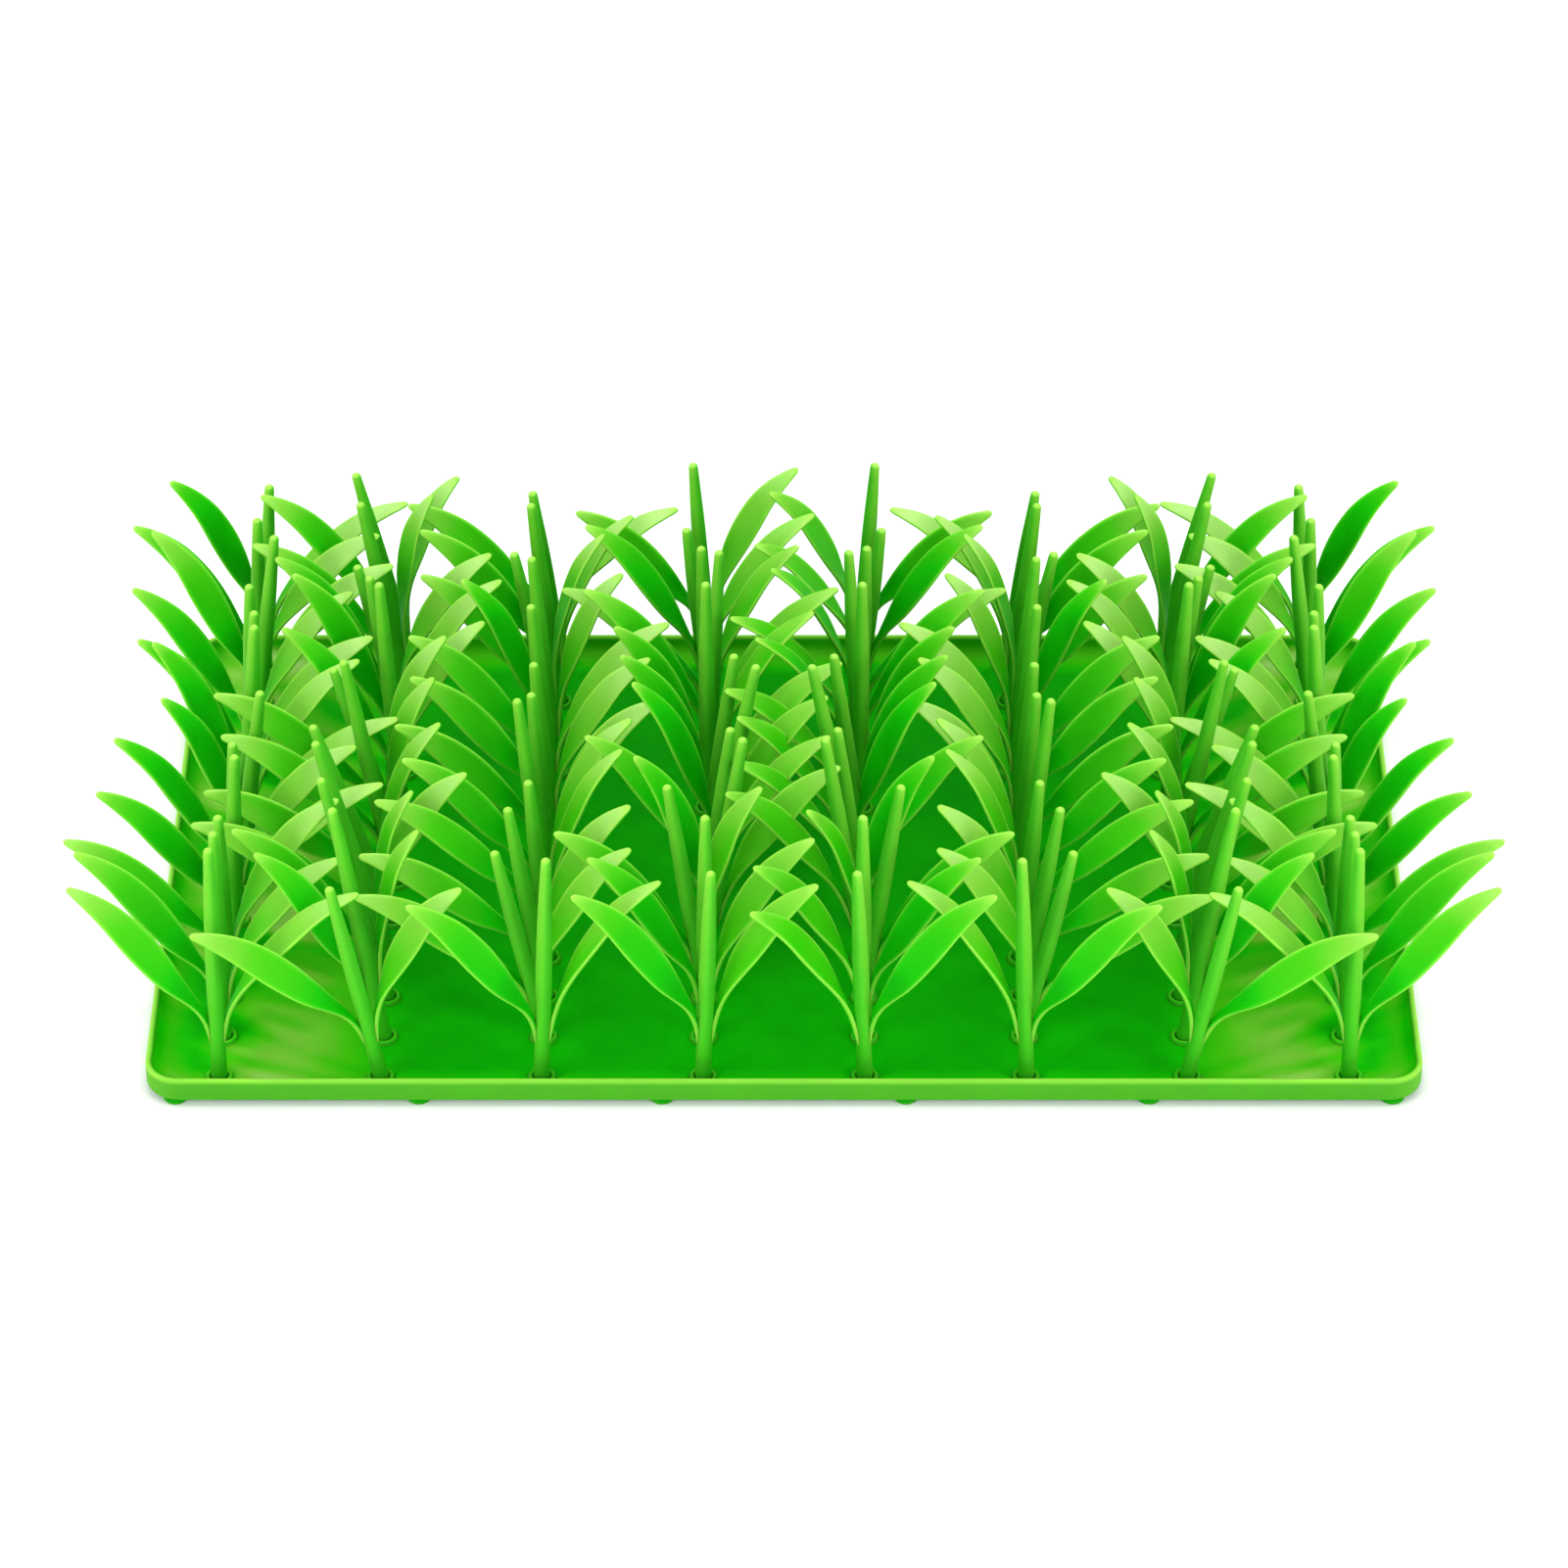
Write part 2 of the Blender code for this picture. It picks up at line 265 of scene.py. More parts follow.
def run_tree(name, tree, source, sizes):
    """Run a tree on an object and give the result as a new plain mesh object."""
    modifier = source.modifiers.new("Nodes", "NODES")
    modifier.node_group = tree.tree
    for item in tree.tree.interface.items_tree:
        if item.in_out == "INPUT" and item.name in sizes:
            modifier[item.identifier] = sizes[item.name]
    graph = bpy.context.evaluated_depsgraph_get()
    mesh = bpy.data.meshes.new_from_object(source.evaluated_get(graph), depsgraph=graph)
    mesh.name = name
    source.modifiers.remove(modifier)
    result = bpy.data.objects.new(name, mesh)
    bpy.context.scene.collection.objects.link(result)
    return result


# %% [markdown]
# ## The silicone
#
# Both parts are moulded in one bright green silicone. It is satin rather than glossy and lets light in.
# Its colour also carries painted light and shade: a pure saturated green is painted shade deep between
# the blades, and a pale yellowish green is painted light on thin edges and tips, and on skin that looks
# up, to the front and outwards.
#
# So the colour comes from a ramp of greens that runs from deep painted shade to pale painted light, and
# thin edges are mixed with a yellower green as a painted highlight. The meshes carry three attributes
# for it. Edge is 1 on thin edges and tips, where the painted highlight goes. Along runs from 0 at a
# blade's root to 1 at its tip, for painted shade at the root and painted light towards the tip, and a
# middling value of it paints light on the tray's inner wall and cove. Across counts from side to side of
# a leaf, and sets out its fine ribs. How much light is painted on the skin comes from the direction of
# the surface itself.
#
# The tray's floor is open at its left and right ends. A painted pool of light lies there, which fades at
# the end wall, and a little painted light lies on the rest of the floor; both are broken up by soft
# slanting painted shadow streaks.

# %% Greens and strengths
# A ramp from painted shade at 0 to painted light at 1
GREENS = (   # place on the ramp, colour
    (0.00, (0.0004, 0.28, 0.0002, 1)),
    (0.15, (0.006, 0.43, 0.0006, 1)),
    (0.35, (0.055, 0.47, 0.004, 1)),
    (0.60, (0.19, 0.52, 0.040, 1)),
    (1.00, (0.42, 0.68, 0.20, 1)),
)
# The colour of the painted highlight on thin edges and tips
EDGE_HIGHLIGHT_GREEN = (0.34, 0.66, 0.08, 1)

# How much painted light each way of facing gets, and how far from the middle the sides change over
LIT_OUTWARDS, LIT_FRONT, LIT_UP = 0.28, 0.45, 0.75
LIT_FROM, LIT_TO = 0.25, 1.0
SIDES_CHANGE = 30 * MM

# Painted light that still reaches a root, how much more is painted a metre further back, and how much of
# the painted light on the inner wall is lost on skin that looks up
ROOT_SHARE = 0.1
PALER_TO_BACK = 1.2
WALL_LESS_UP = 0.6

# How much painted highlight an edge gets whichever way it looks, and how much more outwards and up
EDGE_ANYHOW, EDGE_OUTWARDS, EDGE_UP = 0.7, 0.5, 0.4
EDGE_POWER = 1.5

# The painted pools of light at the floor's ends, in distances from the middle, the painted light on the
# floor between them, and their painted shadow streaks
OPEN_END_FROM, OPEN_END_FULL = 115 * MM, 165 * MM
OPEN_END_FADE, OPEN_END_TO = 186 * MM, 198 * MM
END_FADE_SHARE = 0.8
FLOOR_BETWEEN = 0.05
STREAK_WIDTH, STREAK_LENGTH = 32 * MM, 120 * MM
STREAK_FROM, STREAK_TO = 0.28, 0.68

# Unevenness of the colour, the roughness and the skin, with heights in mm
CLOUD_SIZE, CLOUD_STRENGTH = 14 * MM, 0.08
SATIN_SIZE, SATIN_LOW, SATIN_SPREAD = 3 * MM, 0.44, 0.12
GRAIN_SIZE, GRAIN_HEIGHT = 0.6 * MM, 0.03
WAVE_SIZE = 28 * MM
VEIN_WAVES = 7
print(f"a ramp of {len(GREENS)} greens")

# %% [markdown]
# The tree below works in that order: which way the skin looks, where the painted pools of light and
# their painted shadow streaks are, how far the ramp goes towards painted light, how much painted edge
# highlight is mixed in, and last the fine grain, ribs and waves as bump.

# %% Silicone material
def silicone(name, edge_highlight_strength, lit_strength, end_pool_strength, wall_light_strength, start, shine, waves, veins):
    """A satin silicone with painted light and shade, paler where its skin faces the lights. Waves and
    veins are heights in mm.
    """
    material = bpy.data.materials.new(name)
    material.use_nodes = True
    tree = Tree(material.node_tree)
    shader = material.node_tree.nodes["Principled BSDF"]
    place = tree.node("ShaderNodeTexCoord", output="Object")

    def attribute(label):
        return tree.node("ShaderNodeAttribute", {"attribute_name": label}, output="Fac")

    def noise(size, detail, where=place):
        sockets = {"Vector": where, "Scale": 1 / size, "Detail": detail}
        return tree.node("ShaderNodeTexNoise", None, sockets, "Fac")

    def eased(value, low, high):
        return tree.node("ShaderNodeMapRange", {"interpolation_type": "SMOOTHSTEP"},
                         {"Value": value, "From Min": low, "From Max": high})

    to_right = tree.node("ShaderNodeSeparateXYZ", None, {"Vector": place})
    to_back = tree.more(to_right, "Y")
    looks_right = tree.node("ShaderNodeSeparateXYZ", None,
                            {"Vector": tree.node("ShaderNodeNewGeometry", output="Normal")})
    looks_back, looks_up = tree.more(looks_right, "Y"), tree.more(looks_right, "Z")
    # Painted light falls on skin that looks outwards from the middle, to the front and up
    outwards = (eased(to_right, -SIDES_CHANGE, SIDES_CHANGE) * 2 - 1) * looks_right
    facing = outwards * LIT_OUTWARDS - looks_back * LIT_FRONT + looks_up * LIT_UP

    # A painted pool of light at each open end of the floor, a little painted light on the rest of it,
    # and painted shadow streaks across both
    from_middle = tree.node("ShaderNodeMath", {"operation": "ABSOLUTE"}, {0: to_right})
    end_fade = eased(from_middle, OPEN_END_FADE, OPEN_END_TO) * END_FADE_SHARE
    end_light_pool = eased(from_middle, OPEN_END_FROM, OPEN_END_FULL) - end_fade
    streak_place = tree.node("ShaderNodeCombineXYZ", None, {
        "X": (from_middle - to_back * 2) * (1 / STREAK_WIDTH),
        "Y": (from_middle * 2 + to_back) * (1 / STREAK_LENGTH)})
    shadow_streaks = eased(noise(1, 1, streak_place), STREAK_FROM, STREAK_TO)
    floor_light_pool = (end_light_pool + FLOOR_BETWEEN) * shadow_streaks * eased(looks_up, 0, 1)

    # Painted light by facing, less at the roots and more to the back, painted light on the inner wall
    # and cove, and random clouds of tone
    along = attribute("along")
    lit = eased(facing, LIT_FROM, LIT_TO) * lit_strength
    pale = lit * (along + ROOT_SHARE) * (to_back * PALER_TO_BACK + 1)
    pale = pale + floor_light_pool * end_pool_strength + along * (looks_up * -WALL_LESS_UP + 1) * wall_light_strength
    pale = pale + (noise(CLOUD_SIZE, 2) - 0.5) * CLOUD_STRENGTH + start
    colour = tree.node("ShaderNodeValToRGB", None, {"Fac": pale})
    stops = colour.socket.node.color_ramp.elements
    for spot, _ in GREENS[1:-1]:
        stops.new(spot)
    for stop, (_, green) in zip(stops, GREENS):
        stop.color = green
    # A painted highlight on thin edges and tips, stronger where they look outwards and up
    edge_light = outwards * EDGE_OUTWARDS + looks_up * EDGE_UP + EDGE_ANYHOW
    colour = tree.node("ShaderNodeMix", {"data_type": "RGBA", "clamp_factor": True}, {
        "Factor": attribute("edge") ** EDGE_POWER * edge_light * edge_highlight_strength,
        "A": colour, "B": EDGE_HIGHLIGHT_GREEN}, "Result")
    tree.link(colour, shader.inputs["Base Color"])
    tree.link(SATIN_LOW + noise(SATIN_SIZE, 3) * SATIN_SPREAD, shader.inputs["Roughness"])

    ribs = tree.node("ShaderNodeMath", {"operation": "SINE"},
                     {0: attribute("across") * VEIN_WAVES * math.tau})
    height = noise(GRAIN_SIZE, 3) * GRAIN_HEIGHT + ribs * veins + noise(WAVE_SIZE, 1) * waves
    bump = tree.node("ShaderNodeBump", None, {"Height": height, "Strength": 1, "Distance": 1 * MM})
    tree.link(bump, shader.inputs["Normal"])
    shader.inputs["Specular IOR Level"].default_value = shine
    shader.inputs["Subsurface Weight"].default_value = 0.6
    shader.inputs["Subsurface Radius"].default_value = (0.15, 1.0, 0.05)
    shader.inputs["Subsurface Scale"].default_value = 3 * MM
    return material


tray_silicone = silicone(
    "tray_silicone", edge_highlight_strength=0.8, lit_strength=0.45, end_pool_strength=0.62, wall_light_strength=0.55,
    start=0, shine=0.02, waves=0.9, veins=0)
grass_silicone = silicone(
    "grass_silicone", edge_highlight_strength=0.75, lit_strength=0.88, end_pool_strength=0, wall_light_strength=0,
    start=0.07, shine=0.05, waves=0, veins=0.012)
print("two silicones mixed")

# %% [markdown]
# ## The tray
#
# The tray is one rounded rectangle all the way up: only its inset from the outer edge and
# its height change. So it is lofted from outlines, read from a short profile that goes from
# the underside round the outer wall, over the rounded rim and down the cove to the floor.
# The corner radius shrinks with the inset, as it does on a real wall of even thickness.

# %% Tray outlines
CORNER_STEPS = 14
SIDE_STEPS = 40
LEAST_CORNER = 1.2 * MM


def tray_outline(inset, height):
    """A rounded rectangle inside the tray's outer edge, counter-clockwise from above."""
    half_x = TRAY_HIGH.x - inset
    half_y = TRAY_HIGH.y - inset
    radius = max(CORNER_RADIUS - inset, LEAST_CORNER)
    points = []
    for quarter, (side_x, side_y) in enumerate(((1, 1), (-1, 1), (-1, -1), (1, -1))):
        centre = Vector((side_x * (half_x - radius), side_y * (half_y - radius), height))
        for step in range(CORNER_STEPS + 1):
            angle = math.radians(90 * (quarter + step / CORNER_STEPS))
            points.append(centre + Vector((math.cos(angle), math.sin(angle), 0)) * radius)
        start = points[-1]
        next_x, next_y = ((-1, 1), (-1, -1), (1, -1), (1, 1))[quarter]
        after_angle = math.radians(90 * (quarter + 1))
        end = Vector((next_x * (half_x - radius), next_y * (half_y - radius), height))
        end += Vector((math.cos(after_angle), math.sin(after_angle), 0)) * radius
        for step in range(1, SIDE_STEPS):
            points.append(start.lerp(end, step / SIDE_STEPS))
    return points


def arc(centre_inset, centre_height, radius, first, last, steps):
    """Points of a round in the wall's section, as (inset, height)."""
    angles = [math.radians(first + (last - first) * step / steps) for step in range(steps + 1)]
    return [(centre_inset + radius * math.cos(angle), centre_height + radius * math.sin(angle))
            for angle in angles]


# %% [markdown]
# In the section an angle of 180 degrees points out of the tray and 90 degrees points up. The rim's
# painted highlight line is the edge attribute, which is strongest on top of the rim. The along attribute
# paints light on the inner wall and the cove, and runs out on the floor.

# %% Tray shell
RIM_ROUND = RIM_THICKNESS / 2
RIM_LINE_OUTSIDE, RIM_LINE_INSIDE = 1.0 * MM, 0.8 * MM
BOTTOM_ROUND = 1.5 * MM
FLAT_MARGIN = 1.0 * MM
COVE_FADE = 8 * MM
# Painted highlight on the rim, the outer wall and the inner wall, and painted light on the inner wall
# and cove
RIM_EDGE, OUTSIDE_EDGE, INSIDE_EDGE = 0.85, 0.5, 0.1
COVE_ALONG = 0.4


def tray_shell():
    """The tray without its holes, collars and feet."""
    rim_middle = TRAY_HIGH.z - RIM_ROUND
    cove_inset = RIM_THICKNESS + COVE_RADIUS
    bottom = arc(BOTTOM_ROUND, UNDERSIDE + BOTTOM_ROUND, BOTTOM_ROUND, 270, 180, 5)
    rim = arc(RIM_ROUND, rim_middle, RIM_ROUND, 180, 0, 8)
    cove = arc(cove_inset, FLOOR_TOP + COVE_RADIUS, COVE_RADIUS, 180, 270, 8)

    # Rows of inset, height, painted edge highlight and painted along light, from the underside to the
    # floor
    profile = [(cove_inset, UNDERSIDE, 0, 0), (BOTTOM_ROUND + FLAT_MARGIN, UNDERSIDE, 0, 0)]
    profile += [(*point, OUTSIDE_EDGE, 0) for point in bottom]
    profile += [(0, rim_middle - RIM_LINE_OUTSIDE, OUTSIDE_EDGE, 0)]
    profile += [(*point, RIM_EDGE, 0) for point in rim]
    profile += [(RIM_THICKNESS, rim_middle - RIM_LINE_INSIDE, INSIDE_EDGE, COVE_ALONG)]
    profile += [(*point, 0, COVE_ALONG) for point in cove]
    profile += [(cove_inset + COVE_FADE, FLOOR_TOP, 0, 0)]
    rings = [tray_outline(inset, height) for inset, height, _, _ in profile]
    marks = {"edge": [[edge] * len(rings[0]) for _, _, edge, _ in profile],
             "along": [[along] * len(rings[0]) for _, _, _, along in profile]}
    bm = bmesh.new()
    skin_rings(bm, rings, marks)
    return mesh_object("tray_shell", bm)


shell = tray_shell()
print(f"the shell has {len(shell.data.polygons)} faces")

# %% [markdown]
# ### Setting out on a grid
#
# Collars, feet and the tools that cut the holes all sit on even grids. One Geometry Nodes
# tree sets any small piece out on a grid: a Grid gives the places, and Instance on Points
# puts a copy of the piece on each.

# %% A tree that sets pieces out on a grid
def set_out_tree(material):
    """Set the object's own geometry out on a grid."""
    tree, size = geometry_tree("Set Out On A Grid", {
        "Columns": "NodeSocketInt", "Rows": "NodeSocketInt",
        "Length": "NodeSocketFloat", "Depth": "NodeSocketFloat"})
    grid = tree.node("GeometryNodeMeshGrid", None, {
        "Size X": size["Length"], "Size Y": size["Depth"],
        "Vertices X": size["Columns"], "Vertices Y": size["Rows"]})
    places = tree.node("GeometryNodeMeshToPoints", None, {"Mesh": grid})
    copies = tree.node("GeometryNodeInstanceOnPoints", None,
                       {"Points": places, "Instance": size["Geometry"]})
    end_tree(tree, copies, material)
    return tree


SET_OUT = set_out_tree(tray_silicone)


def set_out(name, piece, columns, column_pitch, rows, row_pitch):
    """Copies of a small piece on a grid about the middle of the mat. The small piece goes."""
    result = run_tree(name, SET_OUT, piece, {
        "Columns": columns, "Rows": rows,
        "Length": (columns - 1) * column_pitch, "Depth": (rows - 1) * row_pitch})
    bpy.data.objects.remove(piece, do_unlink=True)
    return result


# %% [markdown]
# ### Collars, holes and feet
#
# Each stem stands in a hole with a raised round lip, a little wider than the stem, so a thin
# dark gap shows round it. A lip or a foot is turned: rings of points round one axis, read
# from a short profile.

# %% Turned pieces
TURN_SIDES = 24
HOLE_RADIUS = 2.9 * MM
COLLAR_RADIUS = 4.3 * MM
COLLAR_ROUND = (COLLAR_RADIUS - HOLE_RADIUS) / 2
COLLAR_SINK = 0.4 * MM
# The edge column and COLLAR_EDGE give the collar a painted highlight
COLLAR_FLARE = (   # beyond the collar, above the floor, edge
    (0.5 * MM, -COLLAR_SINK, 0.0),
    (0.35 * MM, 0.02 * MM, 0.1),
    (0.08 * MM, 0.2 * MM, 0.3),
)
COLLAR_EDGE = 0.25
COLLAR_STEPS = 6
CUT_CLEARANCE = 0.1 * MM
FOOT_ROUND = 0.9 * MM
FOOT_SINK = 0.5 * MM
# FOOT_EDGE gives the feet a painted highlight
FOOT_EDGE = 0.2


def turned(name, profile, closed=False):
    """Turn a profile of (radius, height, edge) round the Z axis."""
    bm = bmesh.new()
    layer = bm.verts.layers.float.new("edge")
    loops = []
    for radius, height, edge in profile:
        loop = []
        for side in range(TURN_SIDES):
            angle = math.tau * side / TURN_SIDES
            vertex = bm.verts.new((radius * math.cos(angle), radius * math.sin(angle), height))
            vertex[layer] = edge
            loop.append(vertex)
        loops.append(loop)
    pairs = list(zip(loops, loops[1:]))
    if closed:
        pairs.append((loops[-1], loops[0]))
    for lower, upper in pairs:
        for side in range(TURN_SIDES):
            after = (side + 1) % TURN_SIDES
            bm.faces.new((lower[side], lower[after], upper[after], upper[side]))
    if not closed:
        bm.faces.new(list(reversed(loops[0])))
        bm.faces.new(loops[-1])
    return mesh_object(name, bm)


def collar():
    """A round lip about a hole: a ring with a rounded top and a flared foot."""
    middle = (COLLAR_RADIUS + HOLE_RADIUS) / 2
    top = COLLAR_TOP - COLLAR_ROUND
    profile = [(COLLAR_RADIUS + beyond, FLOOR_TOP + above, edge) for beyond, above, edge in COLLAR_FLARE]
    for step in range(COLLAR_STEPS + 1):
        angle = math.radians(180 * step / COLLAR_STEPS)
        profile.append((middle + COLLAR_ROUND * math.cos(angle),
                        top + COLLAR_ROUND * math.sin(angle), COLLAR_EDGE))
    profile.append((HOLE_RADIUS, FLOOR_TOP - COLLAR_SINK, 0.0))
    return turned("collar", profile, closed=True)


def hole_cutter():
    """A plug that cuts one hole through the floor."""
    radius = HOLE_RADIUS + CUT_CLEARANCE
    return turned("hole_cutter", [(radius, 0, 0), (radius, COLLAR_TOP, 0)])


def foot():
    """A low round foot with a rounded edge and a flat sole."""
    sole = FOOT_RADIUS - FOOT_ROUND
    profile = [(sole, 0, FOOT_EDGE)]
    for angle in map(math.radians, (25, 50, 70, 90)):
        profile.append((sole + FOOT_ROUND * math.sin(angle),
                        FOOT_ROUND * (1 - math.cos(angle)), FOOT_EDGE))
    profile.append((FOOT_RADIUS, UNDERSIDE + FOOT_SINK, 0.0))
    return turned("foot", profile)


collars = set_out("collars", collar(), COLUMNS, COLUMN_PITCH, ROWS, ROW_PITCH)
cutters = set_out("cutters", hole_cutter(), COLUMNS, COLUMN_PITCH, ROWS, ROW_PITCH)
foot_row_pitch = 2 * (TRAY_HIGH.y - FOOT_EDGE_DISTANCE) / (FOOT_ROWS - 1)
feet = set_out("feet", foot(), FOOT_COLUMNS, FOOT_PITCH, FOOT_ROWS, foot_row_pitch)
print(f"{COLUMNS * ROWS} collars and {FOOT_COLUMNS * FOOT_ROWS} feet set out")

# %% [markdown]
# The holes go through the floor with a Boolean modifier, which is then applied by copying
# the evaluated mesh. The tray's pieces become one, and it stands for the tray's solid.

# %% Cut the holes and finish the tray
def cut_holes(target, cutter):
    """Cut the cutters out of the target and give the cut piece."""
    modifier = target.modifiers.new("holes", "BOOLEAN")
    modifier.operation = "DIFFERENCE"
    modifier.object = cutter
    graph = bpy.context.evaluated_depsgraph_get()
    mesh = bpy.data.meshes.new_from_object(target.evaluated_get(graph), depsgraph=graph)
    cut = bpy.data.objects.new("tray_floor_and_wall", mesh)
    bpy.context.scene.collection.objects.link(cut)
    for used in (target, cutter):
        bpy.data.objects.remove(used, do_unlink=True)
    return cut


def dress(piece, material, slot_name, *nodes):
    """Give a finished piece its material and its body, and hide the parts that it stands for."""
    piece.data.materials.clear()
    piece.data.materials.append(material)
    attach(piece, "root")
    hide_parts(*nodes)


tray = join_pieces("moulded_tray", [cut_holes(shell, cutters), collars, feet], 50)
dress(tray, tray_silicone, "tray_silicone", "tray")
print(f"the tray has {len(tray.data.polygons)} faces")

# %% [markdown]
# ## The grass
#
# A sprig is a stem that carries on as an upright finger, with a leaf on each side. Soft
# silicone leans and droops as it likes, so no sprig is quite like its neighbours, but every
# leaf comes from the same mould. So it is made in two steps. A flat blank of the leaf is modelled once,
# and then bent along the middle line of each leaf of the mat.
#
# The lines come first. They follow the same rules as the solids: how a leaf's slope falls
# along its length, how far it drifts off its row, and how its face turns to the front.

# %% Sizes of a sprig
STEM_HALF = 2.1 * MM
FORK_LOW = 15 * MM
FORK_HIGH = 21 * MM
FINGER_TOP = 82 * MM
LEAN_HEIGHT = 82 * MM
LEAF_SLOPES = ((0.0, 86), (0.25, 64), (0.7, 54), (1.0, 30))
STEEPER_FROM = 0.25
DRIFT_ENDS_AT = 0.45
TWIST_ENDS_AT = 0.50
LEAF_SIDES = (   # side, length, degrees steeper, drift off the row, turn of the face
    (-1, 73 * MM, -3, -5.6 * MM, 48),
    (1, 68 * MM, 3, 4.4 * MM, 27),
)
TWIST_VARIATION = 16
LENGTH_VARIATION = 0.05
MEETING_TURN = 24
SEED = 53651
BACK_PER_LONGER = 0.35

# %% [markdown]
# Each sprig lies its own way, as they do after being handled. The leans were worked out outside this
# script, from where each fingertip stands, and rounded. The lengths were then toned down, and the
# leaves' values were set one by one. Both tables have one line for each row from the front, and go from
# the outermost column to the innermost.
# The first gives the lean of a finger's tip away from the middle and how much longer the
# finger is than usual, in millimetres. The second has a left and a right leaf for each
# column: how many degrees steeper the leaf is than usual, and how many it is turned round
# its stem. The right half mirrors the left one.

# %% How the sprigs lie
FINGERS = (
    ((-1, 7), (14, -4), (-3, 4), (-3, 0)),
    ((-1, 0), (12, 8), (15, -5), (-1, 5)),
    ((-1, -7), (17, 6), (11, -4), (11, 3)),
    ((-5, 0), (20, 6), (5, -8), (-12, 6)),
    ((-3, -8), (24, 0), (8, 6), (-9, -3)),
    ((-11, -3), (13, 7), (5, -4), (-16, 6)),
    ((-7, 6), (21, -6), (5, -6), (-10, -3)),
    ((-6, -1), (4, 8), (6, 1), (0, 8)),
    ((-3, -4), (9, -1), (6, 5), (-4, 7)),
    ((-10, 1), (16, -8), (14, -4), (2, -3)),
    ((-3, -5), (14, 1), (8, 0), (8, -8)),
    ((-6, -5), (17, 0), (9, -7), (5, 2)),
)

LEAVES = (
    (((-3, -12), (-12, 3)), ((-5, 0), (-8, 0)), ((-2, 0), (0, 0)), ((0, 0), (0, 4))),
    (((0, -3), (-8, 3)), ((17, -1), (10, 0)), ((-5, 0), (-10, 0)), ((5, 0), (0, 5))),
    (((-9, 0), (-2, 3)), ((12, 0), (8, 0)), ((-8, 0), (-5, 0)), ((5, 0), (6, 3))),
    (((-2, 7), (-14, 5)), ((-4, 0), (-13, 0)), ((-6, 2), (6, 0)), ((10, 0), (2, 7))),
    (((6, 8), (-8, 4)), ((0, 2), (-6, 0)), ((3, 2), (0, 0)), ((-3, 0), (0, 7))),
    (((10, 6), (-12, 3)), ((-2, 1), (8, -2)), ((-3, 2), (-8, 0)), ((5, 0), (8, 8))),
    (((12, -2), (0, 3)), ((4, 1), (-2, 0)), ((2, 0), (-4, 0)), ((6, 3), (-2, 6))),
    (((3, 7), (-7, 4)), ((10, -3), (0, 1)), ((3, 0), (-10, 0)), ((12, 0), (0, 3))),
    (((5, 0), (0, 0)), ((20, -3), (-8, 1)), ((20, 0), (6, 0)), ((0, 0), (-6, 5))),
    (((4, -10), (-5, 0)), ((18, 0), (-12, -1)), ((10, 0), (5, 0)), ((-8, 0), (2, 2))),
    (((2, 4), (-9, 2)), ((5, 2), (12, -2)), ((6, 1), (0, 0)), ((10, 0), (-10, 5))),
    (((10, 10), (-14, 4)), ((12, 1), (0, 0)), ((2, 3), (-20, 0)), ((0, 1), (0, 5))),
)


def sprig_place(root, lean):
    """Map a sprig's own points, with the floor at zero, into the mat."""
    above = Matrix.Translation((root.x, root.y, COLLAR_TOP))
    below = Matrix.Translation((0, 0, FLOOR_TOP - COLLAR_TOP))
    return above @ Matrix.Rotation(math.atan2(lean, LEAN_HEIGHT), 4, "Y") @ below


def leaf_settings(chance, column, changes):
    """Settings of a sprig's two leaves, each a little unlike the next."""
    half = COLUMNS // 2
    leaves = []
    for (side, length, steeper, drift, twist), (slope_change, turned) in zip(LEAF_SIDES, changes):
        length *= 1 + chance.uniform(-LENGTH_VARIATION, LENGTH_VARIATION)
        twist += chance.uniform(-TWIST_VARIATION, TWIST_VARIATION)
        if column == half and side == 1:
            turned -= MEETING_TURN
        if column >= half:
            side, turned = -side, -turned
        leaves.append((side, length, steeper + slope_change, drift, twist, turned))
    return leaves


# %% [markdown]
# In the middle of the mat a leaf of the right half meets one of the left half, and is turned
# to the front to pass it.
#
# A line is a chain of points. Each point also carries two directions as attributes: across,
# which is where the blank's width goes, and face, which is where its upper side looks.

# %% Middle lines
LINE_STEPS = 40
ROOT_SINK = 0.3 * MM


def leaf_slope(along, steeper):
    """Slope of a leaf's middle line at a place along it."""
    for (start, first), (end, last) in zip(LEAF_SLOPES, LEAF_SLOPES[1:]):
        if along <= end:
            slope = first + (last - first) * (along - start) / (end - start)
            break
    return math.radians(slope + steeper * smooth_step(along / STEEPER_FROM))


def leaf_line(place, side, length, steeper, drift, twist, turned):
    """The middle line of a leaf, as (point, across, face) rows."""
    place = place @ Matrix.Rotation(math.radians(turned), 4, "Z")
    step = length / LINE_STEPS
    reach, height = STEM_HALF, FORK_LOW
    turn = place.to_3x3()
    back = Vector((0, 1, 0))
    rows = []
    for index in range(LINE_STEPS + 1):
        along = index / LINE_STEPS
        slope = leaf_slope(along, steeper)
        shift = drift * smooth_step(along / DRIFT_ENDS_AT)
        angle = math.radians(twist) * smooth_step(along / TWIST_ENDS_AT)
        up = Vector((-side * math.sin(slope), 0, math.cos(slope)))
        across = back * math.cos(angle) + up * math.sin(angle)
        face = up * math.cos(angle) - back * math.sin(angle)
        rows.append((place @ Vector((side * reach, shift, height)), turn @ across * side, turn @ face))
        reach += step * math.cos(slope)
        height += step * math.sin(slope)
    return rows


